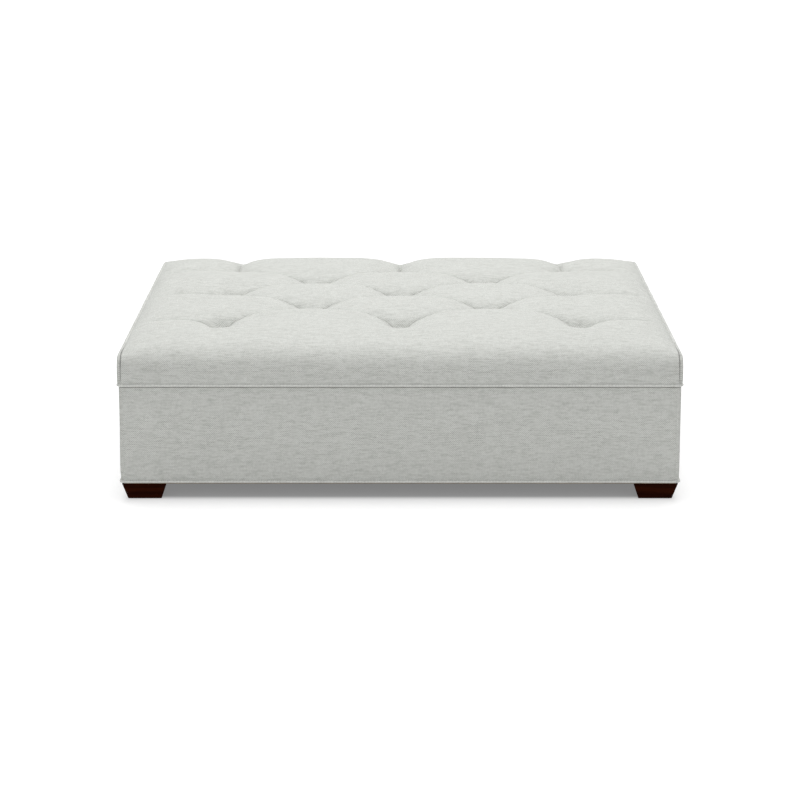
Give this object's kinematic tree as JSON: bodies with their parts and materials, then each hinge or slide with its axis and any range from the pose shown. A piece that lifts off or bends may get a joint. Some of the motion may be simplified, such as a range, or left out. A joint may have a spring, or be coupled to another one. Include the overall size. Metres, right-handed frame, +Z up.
{
  "type": "storage ottoman coffee table",
  "caption": "Square upholstered storage ottoman with a blind-tufted lid hinged at the back, welted edges and tapered dark wood block feet.",
  "frame": {"origin": "on the floor, under the middle of the plan", "axes": "+Z up, front towards -Y, +X to the right seen from the front"},
  "size_m": [1.322, 1.322, 0.39],
  "materials": {
    "timber": "planed softwood, unfinished",
    "plywood": "sanded birch-faced plywood, unfinished",
    "cover_fabric": "heathered basket weave upholstery with slubs, pale grey-green",
    "lining_fabric": "plain close-woven lining, matt",
    "dust_cover_fabric": "black non-woven dust cover, matt",
    "foam": "cream polyurethane upholstery foam",
    "dark_wood": "espresso stained hardwood, satin lacquer with faint grain",
    "zinc_steel": "zinc plated steel",
    "nylon": "moulded white nylon",
    "twine": "waxed nylon tufting twine",
    "clear_rubber": "soft translucent bumper",
    "strut_black": "black painted steel tube, satin",
    "strut_steel": "bright steel"
  },
  "bodies": {
    "base": {"back_rail": "timber", "base_back_panel": "cover_fabric", "base_front_panel": "cover_fabric", "base_hinge_leaves": "zinc_steel", "base_hinge_screws": "zinc_steel", "base_left_panel": "cover_fabric", "base_right_panel": "cover_fabric", "base_welt": "cover_fabric", "corner_blocks": "timber", "cross_bearers": "timber", "dust_cover": "dust_cover_fabric", "floor_panel": "plywood", "foot_back_left": "dark_wood", "foot_back_right": "dark_wood", "foot_bolts": "zinc_steel", "foot_front_left": "dark_wood", "foot_front_right": "dark_wood", "foot_glides": "nylon", "foot_nuts": "zinc_steel", "front_rail": "timber", "hinge_pins": "zinc_steel", "left_rail": "timber", "lid_bumpers": "clear_rubber", "rail_bearers": "timber", "rail_screws": "zinc_steel", "right_rail": "timber", "storage_lining": "lining_fabric", "strut_base_brackets": "zinc_steel", "strut_base_screws": "zinc_steel"},
    "lid": {"lid_board": "plywood", "lid_foam": "foam", "lid_hinge_leaves": "zinc_steel", "lid_hinge_screws": "zinc_steel", "lid_lining": "lining_fabric", "lid_side_panel_left": "cover_fabric", "lid_side_panel_right": "cover_fabric", "lid_top_panel": "cover_fabric", "lid_welt": "cover_fabric", "strut_lid_brackets": "zinc_steel", "strut_lid_screws": "zinc_steel", "tuft_twines": "twine", "tuft_washers": "nylon"},
    "strut_tube_left": {"strut_tube_left": "strut_black"},
    "strut_tube_right": {"strut_tube_right": "strut_black"},
    "strut_rod_left": {"strut_rod_left": "strut_steel"},
    "strut_rod_right": {"strut_rod_right": "strut_steel"}
  },
  "joints": [
    {"name": "lid_hinge", "type": "hinge", "parent": "base", "child": "lid", "pos_m": [0, 0.6579, 0.272], "axis": [-1, 0, 0], "range_deg": [0, 80]},
    {"name": "strut_swing_left", "type": "hinge", "parent": "base", "child": "strut_tube_left", "pos_m": [-0.6184, 0.6139, 0.2276], "axis": [-1, 0, 0], "range_deg": [0, 78.06]},
    {"name": "strut_slide_left", "type": "slide", "parent": "strut_tube_left", "child": "strut_rod_left", "axis": [0, -0.9806, 0.1961], "range_m": [0, 0.08041]},
    {"name": "strut_swing_right", "type": "hinge", "parent": "base", "child": "strut_tube_right", "pos_m": [0.6184, 0.6139, 0.2276], "axis": [-1, 0, 0], "range_deg": [0, 78.06]},
    {"name": "strut_slide_right", "type": "slide", "parent": "strut_tube_right", "child": "strut_rod_right", "axis": [0, -0.9806, 0.1961], "range_m": [0, 0.08041]}
  ],
  "couplings": [
    {"joint": "strut_swing_left", "follows": "lid_hinge", "ratio": 0.97198},
    {"joint": "strut_slide_left", "follows": "lid_hinge", "m_per_rad": 0.057305},
    {"joint": "strut_swing_right", "follows": "lid_hinge", "ratio": 0.97198},
    {"joint": "strut_slide_right", "follows": "lid_hinge", "m_per_rad": 0.057305}
  ]
}
